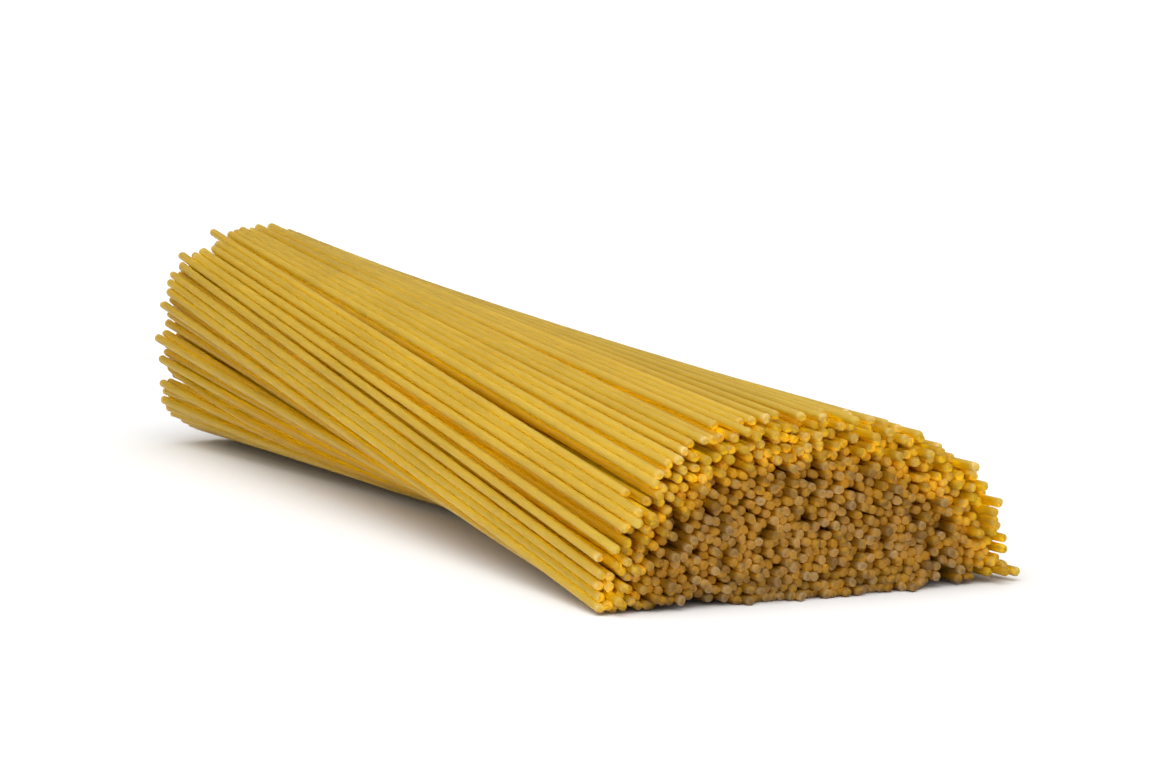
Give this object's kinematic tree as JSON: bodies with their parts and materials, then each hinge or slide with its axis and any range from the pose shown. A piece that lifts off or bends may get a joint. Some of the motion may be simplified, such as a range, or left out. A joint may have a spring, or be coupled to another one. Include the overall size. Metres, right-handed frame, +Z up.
{
  "type": "bundle of dry long pasta",
  "caption": "Loose bundle of straight dry pasta strands lying on its side, given a part turn, tall and round at one end and fanned out into a low dome at the other.",
  "frame": {"origin": "centre of the bundle's box, at its bottom, on the surface that it lies on", "axes": "+X along the strands towards the fanned end, +Y across them, +Z up"},
  "size_m": [0.269, 0.0948, 0.0496],
  "materials": {
    "pasta": "satin, slightly see-through amber yellow, with pale frosted cut ends"
  },
  "bodies": {
    "root": {"strand_bundle": "pasta"}
  },
  "joints": []
}
